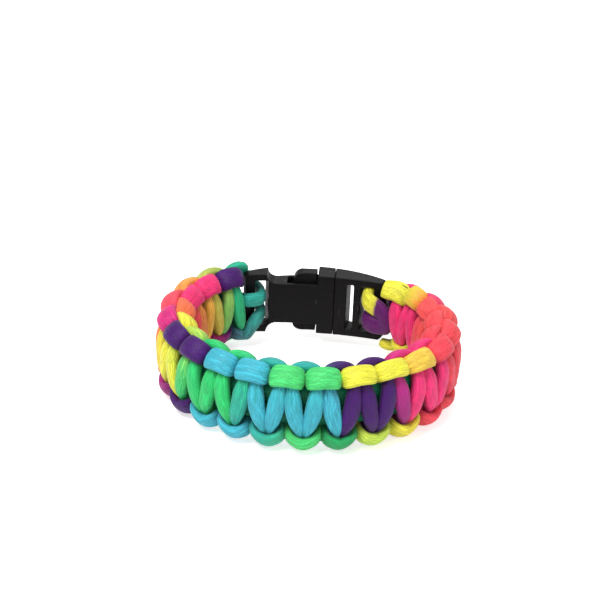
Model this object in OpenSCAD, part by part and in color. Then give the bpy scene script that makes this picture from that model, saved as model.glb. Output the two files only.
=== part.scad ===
// Knotted cord bracelet with a curved side-release buckle, closed, lying on its lower edge.
// Millimetres. X runs along the buckle, Y points to its back, Z goes up through the wrist opening.

/* [Loop] */
// Bend radius of the loop where it passes through the buckle
back_radius = 48; // [40:1:60]
// Bend radius of the tight left and right ends
side_radius = 24; // [22:0.5:28]
// Angle that each tight end turns through, in degrees
side_turn = 110; // [100:1:114]

/* [Cord] */
// Diameter of the cord before it is pulled tight
cord_d = 4; // [3.4:0.1:4.2]
// Number of half knots in the weave, an odd number
half_knots = 37; // [33:2:41]
// Length kept free for the hitch, between the plug and the first half knot
hitch_length = 3.2; // [3:0.1:5]
// Length kept free between the socket and the last half knot
turn_length = 1.2; // [1:0.1:3]
// Gap between the ends of a core run, inside the weave
core_gap = 0.3; // [0.2:0.1:1]

/* [Buckle] */
// Length of the closed buckle along its curve
buckle_length = 37.5; // [36:0.5:44]
// Width of the buckle across the band
buckle_width = 16.8; // [16:0.2:19]
// Thickness in the middle of the buckle
buckle_thickness = 6; // [5.6:0.1:7]
// Thickness at both tips of the buckle
tip_thickness = 2.6; // [2.2:0.1:3]
// Length of the plug's base, outside the socket
base_length = 13.4; // [13:0.2:15]
// Gap between the plug's base and the socket's mouth
mouth_gap = 0.25; // [0.2:0.05:0.5]
// Width of the bar that the cord is wrapped round, at each tip
end_bar = 2.5; // [2:0.1:3]
// Width of the slot that the cord goes through, at each tip
cord_slot = 3.6; // [3.4:0.1:4.2]
// Thickness of the side rails beside the slots
side_rail = 1.8; // [1.4:0.1:2.2]
// Width of the narrow slot in the plug
narrow_slot = 1.8; // [1.2:0.1:2]
// Width of the bar between the plug's two slots
middle_bar = 2; // [1.6:0.1:2.4]
// Height of the socket's hollow, through its thickness
hollow_height = 3.6; // [3.2:0.1:4]
// Thickness of the wall at each side of the socket's mouth
mouth_wall = 1.4; // [1.2:0.1:2]
// Length of the socket's full-width mouth
mouth_length = 4.4; // [4:0.2:6]
// Length of each side window, behind the mouth
window_length = 8; // [7:0.2:9]
// How far the socket's waist is set in from its full width
waist_inset = 2.7; // [2.2:0.1:3]
// Clearance between the plug's prongs and the socket
prong_gap = 0.3; // [0.2:0.05:0.5]
// Width of each prong's arm
arm_width = 1.8; // [1.5:0.1:2.2]
// Half the width of the guide tongue
tongue_half = 1.5; // [1.2:0.1:2]
// Room between the tongue and each prong, into which the prong bends
prong_travel = 1.2; // [1:0.1:1.6]
// Room behind each prong's pad, at the back of its window
pad_room = 1.6; // [1:0.1:2.4]
// How far the tongue reaches past the side windows
tongue_reach = 2; // [1:0.2:3]
// Radius of the rounded corners of the buckle's outline
corner_r = 1.2; // [0.8:0.1:1.4]

/* [Hidden] */
// Loop: arcs of three radii, the front one closing the curve
buckle_half = buckle_length / 2;
buckle_turn = deg(buckle_half / back_radius);
front_start = buckle_turn + side_turn;
front_radius = (back_radius * sin(buckle_turn) + side_radius * (sin(front_start) - sin(buckle_turn)))
    / sin(front_start);
side_length = side_radius * side_turn * PI / 180;
front_length = front_radius * (180 - front_start) * PI / 180;
loop_length = 2 * (buckle_half + side_length + front_length);
loop_depth = back_radius * (1 - cos(buckle_turn)) + side_radius * (cos(buckle_turn) - cos(front_start))
    + front_radius * (cos(front_start) + 1);

// Weave: where it starts and ends along the loop, and the length of one half knot
weave_start = buckle_half + hitch_length;
weave_end = loop_length - buckle_half - turn_length;
pitch = (weave_end - weave_start) / half_knots;

// Buckle: the outer and inner faces are bent about radii that thin it towards both tips
thickness_loss = (buckle_thickness - tip_thickness) / 2;
outer_radius = lens_radius(drop_at(buckle_half) + thickness_loss);
inner_radius = lens_radius(drop_at(buckle_half) - thickness_loss);

// Wraps: centre of the end bar, and how far the cord's middle lies from it
bar_centre = buckle_half - end_bar / 2;
wrap_run = (end_bar + cord_slot) / 2;
flat_thickness = 0.66 * cord_d;
wrap_clearance = 0.3;
bar_thickness = lens_thickness(bar_centre);
wrap_out = (bar_thickness + flat_thickness) / 2 + wrap_clearance;

// Sides of the polygon that a cord's section is drawn as
section_sides = 6;
// Makes the polygon as large in area as the oval that it stands for
section_size = sqrt(2 * PI / (section_sides * sin(360 / section_sides)));
// Each core run's distance from the band's middle, and its half width, in cord diameters
core_side = 0.49;
core_round = 0.42;

// Columns of the knot table, for the quarter of a half knot from its bar to its edge loop:
// run in half knots, side and out in cord diameters, lean of the wide axis in degrees,
// half width and half thickness in cord diameters
KNOT = [
    [ 0.00, 0.00,  0.83,  0, 0.35, 0.46],
    [-0.04, 0.73,  0.82,  7, 0.35, 0.43],
    [-0.19, 1.20,  0.56, 49, 0.41, 0.26],
    [-0.25, 1.65, -0.14, 67, 0.51, 0.20],
    [-0.09, 2.08, -0.67, 49, 0.53, 0.26],
    [ 0.50, 2.15, -0.76, 32, 0.50, 0.36]
];

// Columns of the wrap tables: run from the bar's centre as a share of the wrap, side in cord
// diameters, out as a share of the wrap, swing and lean of the wide axis in degrees, half width
// and half thickness in cord diameters
SOCKET_WRAP = [
    [ 0.40, -1.85, -1.08,  25, -60, 0.48, 0.33],
    [-0.05, -1.30, -1.08,  50, -90, 0.46, 0.32],
    [-0.52, -0.82, -1.04,  28, -90, 0.48, 0.31],
    [-0.94, -0.62, -0.62,   5, -90, 0.50, 0.30],
    [-1.02, -0.58,  0.05,   0, -90, 0.50, 0.30],
    [-0.94, -0.56,  0.76,   0, -90, 0.50, 0.30],
    [-0.50, -0.55,  1.08,   0, -90, 0.49, 0.31],
    [ 0.40, -0.53,  1.06,   0, -90, 0.47, 0.31],
    [ 0.92, -0.51,  0.62,   0, -90, 0.44, 0.34],
    [ 1.45, -0.49,  0.06,   0, -90, 0.43, 0.40]
];
PLUG_HITCH = [
    [ 1.30,  0.50,  0.10,   0, 90, 0.44, 0.38],
    [ 0.85,  0.52,  0.66,   0, 90, 0.46, 0.34],
    [ 0.35,  0.58,  1.06,   0, 90, 0.48, 0.31],
    [-0.45,  0.74,  1.06,   0, 90, 0.48, 0.31],
    [-0.92,  0.90,  0.74,   0, 90, 0.48, 0.31],
    [-1.02,  1.04,  0.00,   0, 90, 0.48, 0.31],
    [-0.92,  1.08, -0.70,   4, 90, 0.48, 0.31],
    [-0.45,  1.00, -1.05,  12, 90, 0.47, 0.31],
    [ 0.10,  0.86, -1.08,  26, 90, 0.45, 0.32],
    [ 0.55,  0.68, -1.08,  46, 90, 0.43, 0.33],
    [ 0.88,  0.30, -1.10,  75, 90, 0.40, 0.33],
    [ 0.93, -0.35, -1.10,  92, 90, 0.40, 0.33],
    [ 0.84, -0.85, -1.08, 112, 90, 0.42, 0.33],
    [ 0.42, -1.12, -1.08, 155, 90, 0.46, 0.32],
    [-0.40, -1.16, -1.06, 178, 90, 0.48, 0.31],
    [-0.92, -1.12, -0.70, 180, 90, 0.48, 0.31],
    [-1.02, -1.04,  0.00, 180, 90, 0.48, 0.31],
    [-0.92, -0.92,  0.74, 180, 90, 0.48, 0.31],
    [-0.45, -0.80,  1.06, 180, 90, 0.48, 0.31],
    [ 0.35, -0.60,  1.06, 180, 90, 0.48, 0.31],
    [ 0.85, -0.53,  0.66, 180, 90, 0.46, 0.34],
    [ 1.30, -0.50,  0.10, 180, 90, 0.44, 0.38]
];

// Columns of the melted ends' tables: distance before the weave as a share of the hitch's length,
// then side, out, lean, half width and half thickness as in the knot table
FACE_END = [
    [0.88, 2.12, -0.72, 32, 0.30, 0.22],
    [0.78, 2.13, -0.74, 32, 0.42, 0.31],
    [0.40, 2.14, -0.75, 32, 0.50, 0.36]
];
EDGE_END = [
    [0.88, -2.20, 0.34,  8, 0.30, 0.22],
    [0.78, -2.20, 0.40,  8, 0.42, 0.31],
    [0.40, -2.18, 0.62, 22, 0.48, 0.34]
];

// Height of the band's middle, so that its lowest loops touch the ground, and how far out of
// the band's middle its loops reach
edge_loop = ring([knot_row(KNOT[5], 0, 1)], 0);
band_half = cord_d * max([for (p = edge_loop) p[1]]);
band_out = -cord_d * min([for (p = edge_loop) p[2]]);
// Places the loop so that its overall box is centred on the Z axis
back_y = (loop_depth + band_out - buckle_thickness / 2) / 2;

function deg(radians) = radians * 180 / PI;
function unit(v) = v / norm(v);
function clamp(x, low, high) = max(low, min(high, x));

// Loop: the angle turned through, and the place, at a distance along the centre line
function turned(t) = deg(min(t, buckle_half) / back_radius
    + clamp(t - buckle_half, 0, side_length) / side_radius
    + max(t - buckle_half - side_length, 0) / front_radius);
function arc_reach(a) = [
    back_radius * sin(min(a, buckle_turn))
        + side_radius * (sin(clamp(a, buckle_turn, front_start)) - sin(buckle_turn))
        + front_radius * (sin(max(a, front_start)) - sin(front_start)),
    back_radius * (1 - cos(min(a, buckle_turn)))
        + side_radius * (cos(buckle_turn) - cos(clamp(a, buckle_turn, front_start)))
        + front_radius * (cos(front_start) - cos(max(a, front_start)))
];
// Turns a distance along the loop, a height and a distance out into a point in space
function on_loop(run, side, out) = let (
    t = run > loop_length / 2 ? run - loop_length : run,
    way = t < 0 ? -1 : 1,
    a = turned(abs(t)),
    reach = arc_reach(a)
) [way * (reach[0] + out * sin(a)), back_y - reach[1] + out * cos(a), band_half + side];

// Sections: a row holds run in half knots, side, out, swing, lean, half width and half thickness
function row_place(r) = [r[0], r[1], r[2]];
function wide_axis(r) = [sin(r[3]), cos(r[3]) * sin(r[4]), cos(r[3]) * cos(r[4])];
function row_heading(rows, i) = len(rows) == 1 ? [1, 0, 0] :
    unit(row_place(rows[min(i + 1, len(rows) - 1)]) - row_place(rows[max(i - 1, 0)]));
function ring(rows, i) = let (
    r = rows[i],
    t = row_heading(rows, i),
    w = wide_axis(r),
    e = unit(w - (w * t) * t),
    f = cross(t, e)
) [for (k = [0:section_sides - 1]) let (a = (k + 0.5) * 360 / section_sides)
    row_place(r) + section_size * (r[5] * cos(a) * e + r[6] * sin(a) * f)];

// Rows of a knot, mirrored to the side that the strand is on
function knot_row(q, middle, side) = [middle + q[0], side * q[1], q[2], 0, side * q[3], q[4], q[5]];
function knot_rows(n) = let (side = n % 2 == 0 ? 1 : -1, middle = n + 0.5) concat(
    [for (i = [5:-1:0]) knot_row(KNOT[i], middle - 2 * KNOT[i][0], side)],
    [for (i = [1:4]) knot_row(KNOT[i], middle, -side)]
);
function weave_rows() = concat(
    [for (n = [0:half_knots - 1], r = knot_rows(n)) r],
    [knot_row(KNOT[5], half_knots - 0.5, -1)]
);
// The other strand is the same one turned half round the band's middle
function turned_over(rows) = [for (r = rows) [r[0], -r[1], -r[2], r[3], r[4], r[5], r[6]]];
function end_rows(table) = [for (r = table)
    [-r[0] * hitch_length / pitch, r[1], r[2], 0, r[3], r[4], r[5]]];

// Rows of a wrap, whose run and out follow the end bar's size
function wrap_row(r, run) =
    [(run - weave_start) / pitch, r[1], r[2] * wrap_out / cord_d, r[3], r[4], r[5], r[6]];
function socket_rows() = [for (r = SOCKET_WRAP)
    wrap_row(r, loop_length - bar_centre - r[0] * wrap_run)];
function plug_rows() = [for (r = PLUG_HITCH) wrap_row(r, bar_centre + r[0] * wrap_run)];

// A core run, straight down the middle of the weave between two half knots
core_start = 0.35;
core_end = half_knots - 2;
function core_row(m, side, swing) = [m, side * core_side, 0, swing, 90, core_round, core_round];
function stub_rows() = [for (m = [half_knots - 1, core_end + core_gap / pitch])
    [m, -core_side, 0, 0, -90, core_round, core_round]];

function face_rows() = concat(end_rows(FACE_END), weave_rows(), socket_rows(), stub_rows());
function edge_rows() = concat(end_rows(EDGE_END),
    turned_over(concat(weave_rows(), socket_rows(), stub_rows())));
function core_rows() = concat(
    [for (m = [core_end:-1:1]) core_row(m, 1, 0)],
    [core_row(core_start, 1, 0)],
    plug_rows(),
    [core_row(core_start, -1, 180)],
    [for (m = [1:core_end]) core_row(m, -1, 180)]
);

// A closed tube through rings of points, set on the loop
module tube(rows) {
    last = len(rows) - 1;
    sides = section_sides;
    points = [for (i = [0:last], p = ring(rows, i))
        on_loop(weave_start + p[0] * pitch, p[1] * cord_d, p[2] * cord_d)];
    walls = [for (i = [0:last - 1], k = [0:sides - 1])
        let (a = i * sides + k, b = i * sides + (k + 1) % sides)
        each [[a, b, a + sides], [b, b + sides, a + sides]]];
    first_cap = [for (k = [1:sides - 2]) [0, k + 1, k]];
    last_cap = [for (k = [1:sides - 2]) [for (j = [0, k, k + 1]) last * sides + j]];
    polyhedron(points, concat(walls, first_cap, last_cap));
}

module face_strand() {
    color([0.2, 0.75, 0.65]) tube(face_rows());
}

module edge_strand() {
    color([0.85, 0.95, 0.3]) tube(edge_rows());
}

module core_cord() {
    color([0.42, 0.16, 0.5]) tube(core_rows());
}

// Buckle: sizes along its curve are turned into X by these, about the loop's back radius
function x_at(run) = back_radius * sin(deg(run / back_radius));
function drop_at(run) = back_radius * (1 - cos(deg(run / back_radius)));
function lens_radius(drop) = (pow(x_at(buckle_half), 2) / drop + drop) / 2;
function lens_drop(r, run) = r - sqrt(r * r - pow(x_at(run), 2));
function lens_thickness(run) =
    buckle_thickness - lens_drop(outer_radius, run) + lens_drop(inner_radius, run);

socket_mouth = buckle_half - base_length - mouth_gap;
window_front = socket_mouth - mouth_length;
window_back = window_front - window_length;
tongue_end = window_back - tongue_reach;
frame_start = buckle_half - end_bar - cord_slot;
base_start = buckle_half - base_length;
// Length by which joined shapes overlap, and by which cuts and tips run past a face
spare = 1;
// How far each tip corner's centre is set in from the side, as a share of its radius
corner_set = 0.94;
rail_inside = buckle_width / 2 - side_rail;
hollow_half = buckle_width / 2 - mouth_wall;
waist_half = buckle_width / 2 - waist_inset;

// The buckle's curved lens, a cylinder bent about the outer face less one bent about the inner
module lens() {
    difference() {
        translate([0, back_y + buckle_thickness / 2 - outer_radius, band_half])
            cylinder(h = 2 * buckle_width, r = outer_radius, center = true, $fn = 180);
        translate([0, back_y - buckle_thickness / 2 - inner_radius, band_half])
            cylinder(h = 3 * buckle_width, r = inner_radius, center = true, $fn = 180);
    }
}

// A curved plate of even thickness about the loop's back radius
module curved_plate(thickness) {
    translate([0, back_y - back_radius, band_half]) difference() {
        cylinder(h = 2 * buckle_width, r = back_radius + thickness / 2, center = true, $fn = 180);
        cylinder(h = 3 * buckle_width, r = back_radius - thickness / 2, center = true, $fn = 180);
    }
}

// Stands at a distance along the buckle's curve, with X along the curve and Y out through it
module at_run(run) {
    translate([0, back_y - back_radius, band_half]) rotate(-deg(run / back_radius))
        translate([0, back_radius, 0]) children();
}

// A slot square to the curve, and the trim that rounds a tip's corners
module slot_at(run, width) {
    at_run(run) cube([width, 2 * buckle_thickness, 2 * rail_inside], center = true);
}

module tip_trim(way) {
    at_run(way * buckle_half) rotate([90, 0, 0])
        linear_extrude(height = 2 * buckle_thickness, center = true)
            mirror([way < 0 ? 1 : 0, 0]) tip_waste();
}

// What is cut off beyond a tip, with its corners left round. They meet the sides at a shallow angle.
module tip_waste() {
    middle = buckle_width / 2 - corner_set * corner_r;
    difference() {
        translate([-corner_r, -buckle_width]) square([corner_r + 2 * spare, 2 * buckle_width]);
        translate([-2 * corner_r, -middle]) square([2 * corner_r, 2 * middle]);
        for (side = [-1, 1]) translate([-corner_r, side * middle]) circle(r = corner_r, $fn = 32);
    }
}

// Carries an outline drawn in X and height through the thickness of the buckle
module through() {
    translate([0, back_y + back_radius, band_half]) rotate([90, 0, 0])
        linear_extrude(height = 2 * back_radius) children();
}

// A rectangle between two distances along the buckle, of a given half height
module span(from, to, half, middle = 0) {
    translate([x_at(from), middle - half]) square([x_at(to) - x_at(from), 2 * half]);
}

// The same with its two corners at one end rounded
module rounded_span(from, to, half, r) {
    length = abs(x_at(to) - x_at(from));
    translate([x_at(from), 0]) mirror([to < from ? 1 : 0, 0]) {
        translate([0, -half]) square([length - r, 2 * half]);
        translate([0, r - half]) square([length, 2 * (half - r)]);
        for (side = [-1, 1]) translate([length - r, side * (half - r)]) circle(r = r, $fn = 32);
    }
}

module socket_outline() {
    span(window_front, socket_mouth, buckle_width / 2);
    span(-frame_start - spare, window_front + spare, waist_half);
    span(-buckle_half - spare, -frame_start, buckle_width / 2);
    // fillets from the waist out to the end frame
    for (side = [-1, 1]) difference() {
        translate([x_at(-frame_start), side * (buckle_width / 2 - waist_inset / 2)])
            square([2 * waist_inset, waist_inset], center = true);
        translate([x_at(-frame_start) + waist_inset, side * buckle_width / 2])
            circle(r = waist_inset, $fn = 48);
    }
}

module buckle_socket() {
    color([0.15, 0.14, 0.15]) difference() {
        intersection() {
            lens();
            through() socket_outline();
        }
        slot_at(-frame_start - cord_slot / 2, cord_slot);
        tip_trim(-1);
        // hollow for the prongs, open at the mouth and at both side windows
        intersection() {
            curved_plate(hollow_height);
            through() {
                span(window_front - spare, socket_mouth + spare, hollow_half);
                span(window_back, window_front, buckle_width);
                span(tongue_end - prong_gap, window_back + spare, tongue_half + prong_gap);
            }
        }
    }
}

pad_front = window_front - prong_gap;
pad_back = window_back + pad_room;
prong_inside = tongue_half + prong_travel;
// Share of a pad's half width that its rear corners are rounded by
pad_rounding = 0.8;
prong_height = hollow_height - 2 * prong_gap;

module prong_outline() {
    // guide tongue
    span(tongue_end, base_start + spare, tongue_half);
    // arms, and the pads that a thumb and finger press
    for (side = [-1, 1]) {
        span(pad_front - spare, base_start + spare, arm_width / 2,
            side * (hollow_half - prong_gap - arm_width / 2));
        translate([0, side * (prong_inside + buckle_width / 2) / 2]) prong_pad();
    }
}

module prong_pad() {
    half = (buckle_width / 2 - prong_inside) / 2;
    rounded_span(pad_front, pad_back, half, half * pad_rounding);
}

module buckle_plug() {
    color([0.17, 0.16, 0.17]) union() {
        difference() {
            intersection() {
                lens();
                through() span(base_start, buckle_half + spare, buckle_width / 2);
            }
            slot_at(frame_start + cord_slot / 2, cord_slot);
            slot_at(frame_start - middle_bar - narrow_slot / 2, narrow_slot);
            tip_trim(1);
        }
        intersection() {
            curved_plate(prong_height);
            through() prong_outline();
        }
    }
}

core_cord();
face_strand();
edge_strand();
buckle_socket();
buckle_plug();
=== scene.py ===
"""Knotted rainbow cord bracelet with a curved side-release buckle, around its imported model.

Metres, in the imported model's frame: X along the buckle, Y to its back, Z up through the wrist opening.
"""
import math
from collections import namedtuple

import bmesh
import bpy
from mathutils import Matrix, Vector


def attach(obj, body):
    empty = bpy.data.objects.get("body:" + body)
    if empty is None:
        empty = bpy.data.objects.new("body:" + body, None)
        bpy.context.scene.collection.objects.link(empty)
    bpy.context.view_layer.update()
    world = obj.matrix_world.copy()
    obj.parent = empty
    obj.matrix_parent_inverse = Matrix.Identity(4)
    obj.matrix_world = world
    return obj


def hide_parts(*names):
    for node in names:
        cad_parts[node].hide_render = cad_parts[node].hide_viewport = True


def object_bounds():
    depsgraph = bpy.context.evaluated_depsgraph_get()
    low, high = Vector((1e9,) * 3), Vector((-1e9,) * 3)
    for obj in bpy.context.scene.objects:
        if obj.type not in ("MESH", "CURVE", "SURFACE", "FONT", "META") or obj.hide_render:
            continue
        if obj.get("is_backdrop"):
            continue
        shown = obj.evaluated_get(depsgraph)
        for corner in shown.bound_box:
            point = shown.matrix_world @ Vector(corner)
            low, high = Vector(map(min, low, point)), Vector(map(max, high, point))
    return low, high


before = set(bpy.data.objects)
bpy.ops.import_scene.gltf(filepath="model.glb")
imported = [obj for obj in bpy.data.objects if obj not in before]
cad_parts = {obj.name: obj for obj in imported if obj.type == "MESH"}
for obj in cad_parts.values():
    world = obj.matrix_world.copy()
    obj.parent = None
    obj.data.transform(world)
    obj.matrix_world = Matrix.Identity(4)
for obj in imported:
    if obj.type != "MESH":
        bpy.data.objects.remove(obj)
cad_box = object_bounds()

MM = 0.001
FULL_TURN = 2 * math.pi

# The loop that the band follows, in the sizes that its solids were built to
BACK_RADIUS = 48 * MM
SIDE_RADIUS = 24 * MM
SIDE_TURN = math.radians(110)
BUCKLE_HALF = 37.5 / 2 * MM
HITCH_LENGTH = 3.2 * MM
TURN_LENGTH = 1.2 * MM
HALF_KNOTS = 37

# The buckle, with the bar and slot at each end that the cords are wrapped round
BUCKLE_THICKNESS = 6 * MM
TIP_THICKNESS = 2.6 * MM
BASE_LENGTH = 13.4 * MM
END_BAR = 2.5 * MM
CORD_SLOT = 3.6 * MM

# The cord's diameter, its thickness where it is pressed flat, and the room it keeps from a bar
CORD_D = 4 * MM
FLAT_SHARE = 0.66
WRAP_CLEARANCE = 0.3 * MM

# A core run in cord diameters: its place beside the middle, its half width and half thickness
CORE_SIDE = 0.63
CORE_WIDTH = 0.62
CORE_ROUND = 0.42
# Where the core starts and ends, in half knots, and the room between its end and a strand's end
CORE_START = 0.35
CORE_END = HALF_KNOTS - 2
CORE_GAP = 0.3 * MM
# How a cut end is rounded off: distance from the end in half knots, and share of the full section
CUT_END = [(0, 0), (0.03, 0.8), (0.15, 1)]

# The changes to the regular weave follow, in half knots along it, in cord diameters
# across it, or as shares.
# The first knots stand off the hitch: by how much, and over how many knots after and before it
FIRST_GAP = 0.5
GAP_KNOTS = 6
GAP_START = 0.8
# Knots across the front are looser, in a slow wave round their middle one
FRONT_EASE = 0.2
EASE_MIDDLE = 17
EASE_SPAN = 20
# The first bar is thicker: by which share, where, and how far to each side
FIRST_BAR = 0.3
FIRST_BAR_MIDDLE = 0.5
FIRST_BAR_SPAN = 0.3
# Rows past these sides or outs lie on an edge loop, on a corner where a bar turns in, or on a bar
LOOP_SIDE = 1.9
CORNER_SIDE = 1.7
CORNER_OUT = 0.1
BAR_OUT = 0.5
# The blocks along the upper edge are shorter by this share, so that their joints show
BLOCK_GAP = 0.06
# The lower edge's outer loops are drawn in at their ends and sink, and its inner ones are lifted
SCALLOP = 0.22
OUTER_SINK = 0.07
INNER_LIFT = 0.2
# The upper half of each bar is more upright, with a fuller shoulder
UPRIGHT = 0.6
SHOULDER = 0.06
# The first inner loop by the plug hangs lower, and reaches further along the band
FIRST_DROP = 0.22
FIRST_LENGTH = 0.35
FIRST_SPAN = 0.4
# The blocks nearest to the plug are lower and closer to the core
LOW_KNOTS = 8
LOW_DROP = 0.3
LOW_PULL = 0.5
# A few blocks at the front are slimmer, longer and a little higher
SLIM_MIDDLE = 13.2
SLIM_SPAN = 2.4
SLIM_LOSS = 0.17
SLIM_LIFT = 0.07

# The band's rounded outline, for the shade painted between the cords: its half height and half
# thickness in cord diameters, and how square it is
EDGE_SPAN = 2.75
FACE_SPAN = 1.28
OUTLINE_POWER = 6.0

# Run in half knots, side and out in cord diameters, lean of the wide axis in degrees, half width
# and half thickness in cord diameters, for the quarter of a half knot from its bar to its loop
KNOT = [
    (0.00, 0.00, 0.89, 0, 0.39, 0.48), (-0.17, 0.80, 0.84, 5, 0.39, 0.42),
    (-0.31, 1.38, 0.54, 40, 0.42, 0.29), (-0.34, 1.76, 0.04, 58, 0.52, 0.25),
    (-0.27, 2.05, -0.42, 47, 0.66, 0.27), (0.02, 2.20, -0.57, 43, 0.70, 0.32),
    (0.50, 2.26, -0.61, 41, 0.70, 0.36),
]
# Run from the end bar's middle as a share of the wrap, side in cord diameters, out as a share of
# the wrap, swing and lean of the wide axis in degrees, half width and half thickness
SOCKET_WRAP = [
    (0.40, -1.85, -1.08, 25, -60, 0.48, 0.33), (-0.05, -1.30, -1.08, 50, -90, 0.46, 0.32),
    (-0.52, -0.82, -1.04, 28, -90, 0.48, 0.31), (-0.94, -0.62, -0.62, 5, -90, 0.50, 0.30),
    (-1.02, -0.58, 0.05, 0, -90, 0.50, 0.30), (-0.94, -0.56, 0.76, 0, -90, 0.50, 0.30),
    (-0.50, -0.55, 1.08, 0, -90, 0.49, 0.31), (0.40, -0.53, 1.06, 0, -90, 0.47, 0.31),
    (0.92, -0.51, 0.62, 0, -90, 0.44, 0.34), (1.45, -0.49, 0.06, 0, -90, 0.43, 0.40),
]
PLUG_HITCH = [
    (1.30, 0.60, 0.10, 0, 90, 0.68, 0.38), (0.85, 0.60, 0.66, 0, 90, 0.66, 0.34),
    (0.35, 0.62, 1.06, 0, 90, 0.66, 0.31), (-0.45, 0.85, 1.06, 0, 90, 0.50, 0.31),
    (-0.90, 1.05, 0.74, 4, 90, 0.56, 0.38), (-0.98, 1.04, 0.00, 10, 90, 0.58, 0.43),
    (-0.92, 0.94, -0.66, 14, 90, 0.62, 0.38), (-0.60, 0.80, -1.04, 18, 90, 0.64, 0.33),
    (0.00, 0.62, -1.12, 24, 90, 0.64, 0.32), (0.60, 0.44, -1.16, 36, 90, 0.62, 0.33),
    (1.10, 0.16, -1.18, 60, 90, 0.60, 0.34), (1.32, -0.20, -1.18, 92, 90, 0.60, 0.34),
    (1.20, -0.56, -1.16, 126, 90, 0.64, 0.33), (0.50, -0.70, -1.10, 166, 90, 0.62, 0.32),
    (-0.30, -0.72, -1.08, 178, 90, 0.64, 0.31), (-0.92, -0.70, -0.70, 180, 90, 0.62, 0.31),
    (-1.02, -0.66, 0.00, 180, 90, 0.58, 0.31), (-0.92, -0.62, 0.74, 180, 90, 0.54, 0.31),
    (-0.45, -0.56, 1.06, 180, 90, 0.50, 0.31), (0.35, -0.50, 1.06, 180, 90, 0.62, 0.31),
    (0.85, -0.50, 0.66, 180, 90, 0.60, 0.34), (1.30, -0.52, 0.10, 180, 90, 0.58, 0.38),
]
# Distance before the weave as a share of the hitch's length, then side, out, lean and half sizes
FACE_END = [(0.85, 2.20, -0.70, 38, 0.00, 0.00), (0.84, 2.20, -0.70, 38, 0.34, 0.20),
            (0.81, 2.20, -0.70, 38, 0.52, 0.30), (0.72, 2.21, -0.70, 38, 0.62, 0.34),
            (0.35, 2.23, -0.68, 40, 0.68, 0.36)]
EDGE_END = [(0.86, -1.98, -0.56, -30, 0.00, 0.00), (0.84, -1.98, -0.56, -30, 0.24, 0.18),
            (0.78, -2.00, -0.57, -30, 0.36, 0.28), (0.64, -2.04, -0.58, -28, 0.46, 0.33),
            (0.35, -2.12, -0.46, -14, 0.52, 0.35), (-0.10, -2.17, 0.05, 16, 0.54, 0.34)]

# What follows from the sizes and tables
BUCKLE_TURN = BUCKLE_HALF / BACK_RADIUS
BASE_START_X = BACK_RADIUS * math.sin((BUCKLE_HALF - BASE_LENGTH) / BACK_RADIUS)
FRONT_START = BUCKLE_TURN + SIDE_TURN
FRONT_RADIUS = (BACK_RADIUS * math.sin(BUCKLE_TURN)
                + SIDE_RADIUS * (math.sin(FRONT_START) - math.sin(BUCKLE_TURN))) / math.sin(FRONT_START)
SIDE_LENGTH = SIDE_RADIUS * SIDE_TURN
LOOP_LENGTH = 2 * (BUCKLE_HALF + SIDE_LENGTH + FRONT_RADIUS * (math.pi - FRONT_START))
WEAVE_START = BUCKLE_HALF + HITCH_LENGTH
PITCH = (LOOP_LENGTH - BUCKLE_HALF - TURN_LENGTH - WEAVE_START) / HALF_KNOTS
BAR_CENTRE = BUCKLE_HALF - END_BAR / 2
WRAP_RUN = (END_BAR + CORD_SLOT) / 2
BAR_SIDE = KNOT[3][1]
ROWS_A_KNOT = 2 * len(KNOT) - 2
CORE_RUN_ROWS = len(CUT_END) + CORE_END
BAND_HALF = (cad_box[0].z + cad_box[1].z) / 2
BACK_Y = cad_box[1].y - BUCKLE_THICKNESS / 2


# Rows along the cords

# Run in half knots from the weave's start, side and out in cord diameters, swing and lean of the
# section's wide axis in degrees, and its half width and half thickness in cord diameters
Row = namedtuple("Row", "run side out swing lean width thick")


def knot_row(place, middle, way):
    run, side, out, lean, width, thick = place
    return Row(middle + run, way * side, out, 0, way * lean, width, thick)


def knot_rows(n):
    """One half knot, from the edge loop it starts at, over its bar, to the next edge loop."""
    way, middle = (1 if n % 2 == 0 else -1), n + 0.5
    return ([knot_row(place, middle - 2 * place[0], way) for place in reversed(KNOT)]
            + [knot_row(place, middle, -way) for place in KNOT[1:-1]])


def weave_rows():
    rows = [row for n in range(HALF_KNOTS) for row in knot_rows(n)]
    return rows + [knot_row(KNOT[-1], HALF_KNOTS - 0.5, -1)]


def turned_over(rows):
    """The other strand is the same one turned half round the band's middle."""
    return [row._replace(side=-row.side, out=-row.out) for row in rows]


def bell(run, middle, span):
    """1 at a middle, falling smoothly to 0 over a span to each side."""
    return math.exp(-((run - middle) / span) ** 2)


def stood_off(run):
    """Where a row goes when the first knots stand off the hitch and the front ones are looser."""
    near = max(0, 1 - run / GAP_KNOTS) ** 2 if run > 0 else max(0, 1 + run / GAP_START)
    ease = FRONT_EASE * math.sin(math.pi * (run - EASE_MIDDLE) / EASE_SPAN)
    return run + ease + FIRST_GAP * near


def standing_off(rows):
    """The rows stood off the hitch, with a thicker first bar."""
    def spread(row):
        on_bar = abs(row.side) < BAR_SIDE
        return 1 + FIRST_BAR * bell(row.run, FIRST_BAR_MIDDLE, FIRST_BAR_SPAN) * on_bar
    return [row._replace(run=stood_off(row.run), thick=row.thick * spread(row)) for row in rows]


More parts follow.
